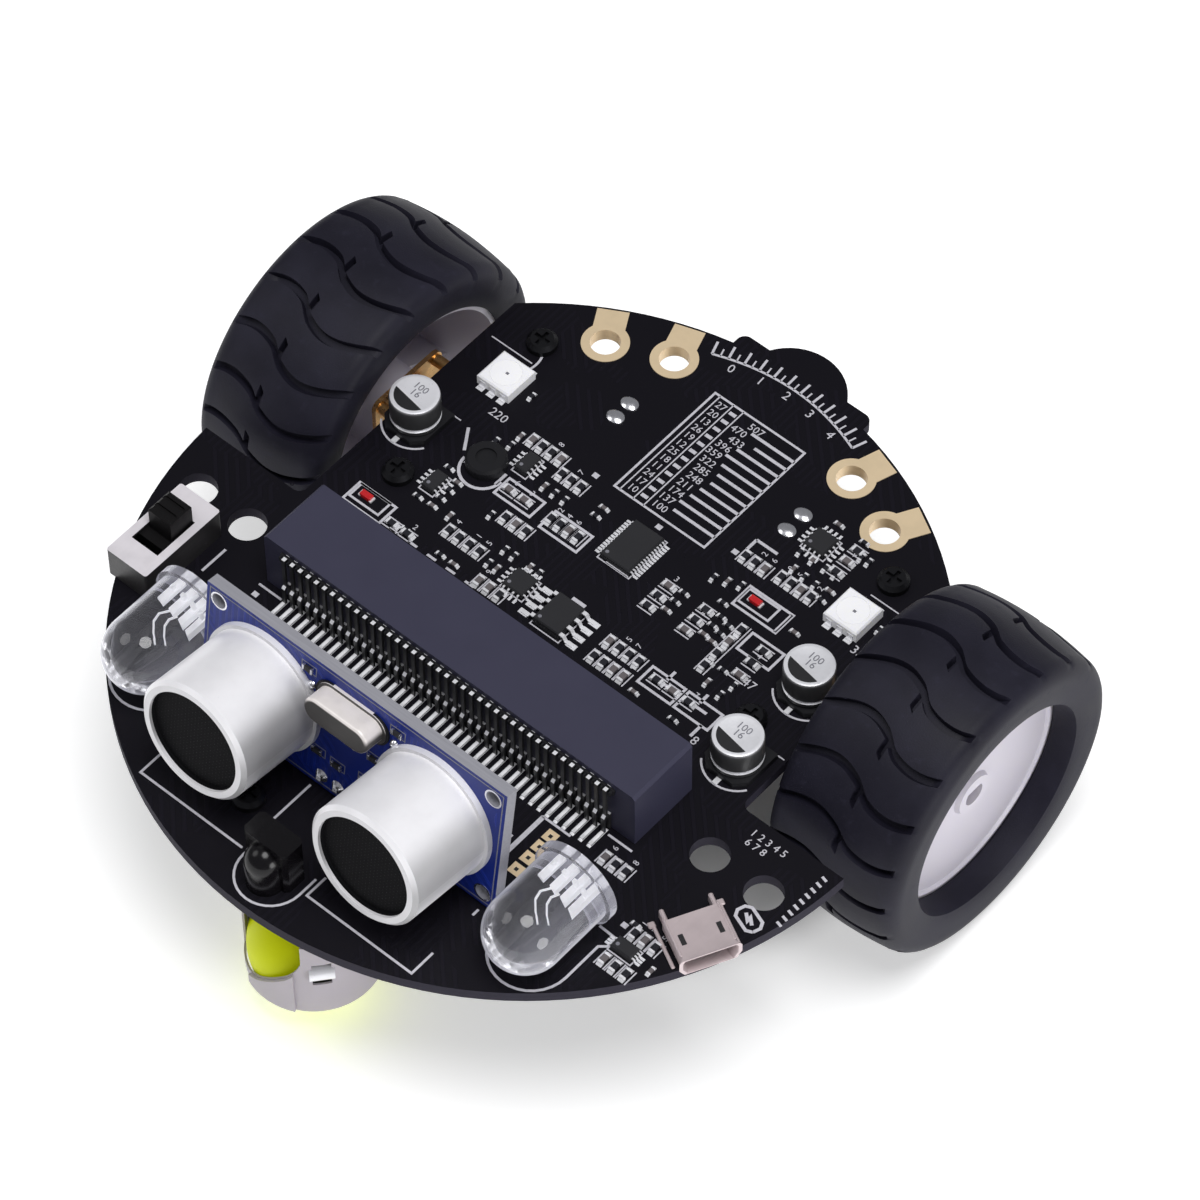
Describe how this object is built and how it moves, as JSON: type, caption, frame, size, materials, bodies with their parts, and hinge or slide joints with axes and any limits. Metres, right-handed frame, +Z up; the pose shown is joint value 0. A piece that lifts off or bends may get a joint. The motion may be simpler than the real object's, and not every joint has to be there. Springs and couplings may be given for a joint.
{
  "type": "line follower robot",
  "caption": "Small two-wheel line follower robot on a round circuit board, with ranging eyes, searchlights, an edge connector, open gearmotors and a ball caster.",
  "frame": {"origin": "on the floor, under the middle of the robot's length and width", "axes": "+X to the right seen from the front, along the wheel axle; the front looks along -Y; +Z up"},
  "size_m": [0.109, 0.1038, 0.0487],
  "materials": {
    "board_black": "satin solder mask",
    "pad_gold": "gold plated",
    "housing_slate": "matte moulded",
    "tinned_contact": "tinned",
    "board_blue": "satin solder mask",
    "can_aluminium": "satin",
    "mesh_black": "woven",
    "crystal_case": "satin",
    "lamp_clear": "clear epoxy",
    "led_white": "glossy",
    "led_red": "clear red",
    "black_plastic": "moulded",
    "receiver_epoxy": "glossy dark epoxy",
    "chip_black": "matte moulded",
    "chip_ceramic": "ceramic with tinned ends",
    "plated_steel": "nickel plated",
    "motor_steel": "plated",
    "gear_brass": "machined",
    "shaft_steel": "ground",
    "bracket_black": "moulded",
    "hub_white": "moulded",
    "tyre_rubber": "matte",
    "caster_white": "moulded",
    "ball_lime": "glossy",
    "cell_sleeve": "shrink sleeve",
    "screw_black": "black oxide"
  },
  "bodies": {
    "chassis": {"main_board": "board_black", "ring_pads": "pad_gold", "edge_connector_housing": "housing_slate", "upper_contacts": "tinned_contact", "lower_contacts": "tinned_contact", "sonar_board": "board_blue", "left_transducer_can": "can_aluminium", "right_transducer_can": "can_aluminium", "transducer_meshes": "mesh_black", "sonar_crystal": "crystal_case", "sonar_header": "black_plastic", "sonar_pins": "tinned_contact", "right_searchlight_lens": "lamp_clear", "left_searchlight_lens": "lamp_clear", "searchlight_leads": "tinned_contact", "rgb_leds": "led_white", "capacitor_bases": "black_plastic", "capacitor_cans": "can_aluminium", "ir_receiver": "receiver_epoxy", "microphone": "black_plastic", "indicator_leds": "led_red", "ic_packages": "chip_black", "chip_parts": "chip_ceramic", "buzzer": "black_plastic", "switch_base": "black_plastic", "switch_shell": "plated_steel", "usb_shell": "plated_steel", "usb_tongue": "black_plastic", "motor_cans": "motor_steel", "motor_endcaps": "black_plastic", "gearbox_frames": "gear_brass", "motor_brackets": "bracket_black", "caster_housing": "caster_white", "battery_holder": "black_plastic", "battery_cell": "cell_sleeve", "battery_contacts": "plated_steel", "line_sensor_board": "board_black", "line_sensors": "receiver_epoxy", "sensor_standoffs": "gear_brass", "board_screws": "screw_black", "board_nuts": "screw_black"},
    "left_wheel": {"left_tyre": "tyre_rubber", "left_hub": "hub_white", "left_output_shaft": "shaft_steel"},
    "left_gear_a_body": {"left_gear_a": "gear_brass"},
    "left_gear_b_body": {"left_gear_b": "gear_brass"},
    "left_gear_c_body": {"left_gear_c": "gear_brass"},
    "left_rotor": {"left_motor_pinion": "shaft_steel"},
    "right_wheel": {"right_tyre": "tyre_rubber", "right_hub": "hub_white", "right_output_shaft": "shaft_steel"},
    "right_gear_a_body": {"right_gear_a": "gear_brass"},
    "right_gear_b_body": {"right_gear_b": "gear_brass"},
    "right_gear_c_body": {"right_gear_c": "gear_brass"},
    "right_rotor": {"right_motor_pinion": "shaft_steel"},
    "ball": {"caster_ball": "ball_lime"},
    "roller_right": {"caster_roller_right": "shaft_steel"},
    "roller_rear": {"caster_roller_rear": "shaft_steel"},
    "roller_left": {"caster_roller_left": "shaft_steel"},
    "switch_slider": {"switch_lever": "black_plastic"}
  },
  "joints": [
    {"name": "left_wheel_spin", "type": "hinge", "parent": "chassis", "child": "left_wheel", "pos_m": [-0.045, 0.0181, 0.021], "axis": [1, 0, 0], "continuous": true},
    {"name": "left_gear_c_spin", "type": "hinge", "parent": "chassis", "child": "left_gear_c_body", "pos_m": [-0.0351, 0.0212, 0.021], "axis": [1, 0, 0], "continuous": true},
    {"name": "left_gear_b_spin", "type": "hinge", "parent": "chassis", "child": "left_gear_b_body", "pos_m": [-0.0333, 0.0181, 0.021], "axis": [1, 0, 0], "continuous": true},
    {"name": "left_gear_a_spin", "type": "hinge", "parent": "chassis", "child": "left_gear_a_body", "pos_m": [-0.0315, 0.0212, 0.021], "axis": [1, 0, 0], "continuous": true},
    {"name": "left_rotor_spin", "type": "hinge", "parent": "chassis", "child": "left_rotor", "pos_m": [-0.03, 0.0181, 0.021], "axis": [1, 0, 0], "continuous": true},
    {"name": "right_wheel_spin", "type": "hinge", "parent": "chassis", "child": "right_wheel", "pos_m": [0.045, 0.0181, 0.021], "axis": [1, 0, 0], "continuous": true},
    {"name": "right_gear_c_spin", "type": "hinge", "parent": "chassis", "child": "right_gear_c_body", "pos_m": [0.0351, 0.0212, 0.021], "axis": [1, 0, 0], "continuous": true},
    {"name": "right_gear_b_spin", "type": "hinge", "parent": "chassis", "child": "right_gear_b_body", "pos_m": [0.0333, 0.0181, 0.021], "axis": [1, 0, 0], "continuous": true},
    {"name": "right_gear_a_spin", "type": "hinge", "parent": "chassis", "child": "right_gear_a_body", "pos_m": [0.0315, 0.0212, 0.021], "axis": [1, 0, 0], "continuous": true},
    {"name": "right_rotor_spin", "type": "hinge", "parent": "chassis", "child": "right_rotor", "pos_m": [0.03, 0.0181, 0.021], "axis": [1, 0, 0], "continuous": true},
    {"name": "caster_ball_roll", "type": "hinge", "parent": "chassis", "child": "ball", "pos_m": [0, -0.0408, 0.008], "axis": [1, 0, 0], "continuous": true},
    {"name": "caster_roller_right_spin", "type": "hinge", "parent": "chassis", "child": "roller_right", "pos_m": [0.00587, -0.04573, 0.01317], "axis": [0.6428, 0.766, 0], "continuous": true},
    {"name": "caster_roller_rear_spin", "type": "hinge", "parent": "chassis", "child": "roller_rear", "pos_m": [0.00133, -0.03325, 0.01317], "axis": [-0.9848, 0.1736, 0], "continuous": true},
    {"name": "caster_roller_left_spin", "type": "hinge", "parent": "chassis", "child": "roller_left", "pos_m": [-0.00721, -0.04342, 0.01317], "axis": [0.342, -0.9397, 0], "continuous": true},
    {"name": "power_switch_slide", "type": "slide", "parent": "chassis", "child": "switch_slider", "axis": [0, -1, 0], "range_m": [0, 0.0027]}
  ],
  "couplings": [
    {"joint": "left_gear_c_spin", "follows": "left_wheel_spin", "ratio": -2.3333},
    {"joint": "left_gear_b_spin", "follows": "left_wheel_spin", "ratio": 5.4444},
    {"joint": "left_gear_a_spin", "follows": "left_wheel_spin", "ratio": -12.704},
    {"joint": "left_rotor_spin", "follows": "left_wheel_spin", "ratio": 29.642},
    {"joint": "right_gear_c_spin", "follows": "right_wheel_spin", "ratio": -2.3333},
    {"joint": "right_gear_b_spin", "follows": "right_wheel_spin", "ratio": 5.4444},
    {"joint": "right_gear_a_spin", "follows": "right_wheel_spin", "ratio": -12.704},
    {"joint": "right_rotor_spin", "follows": "right_wheel_spin", "ratio": 29.642},
    {"joint": "caster_roller_right_spin", "follows": "caster_ball_roll", "ratio": -4.2853},
    {"joint": "caster_roller_rear_spin", "follows": "caster_ball_roll", "ratio": 6.5654},
    {"joint": "caster_roller_left_spin", "follows": "caster_ball_roll", "ratio": -2.2801}
  ]
}
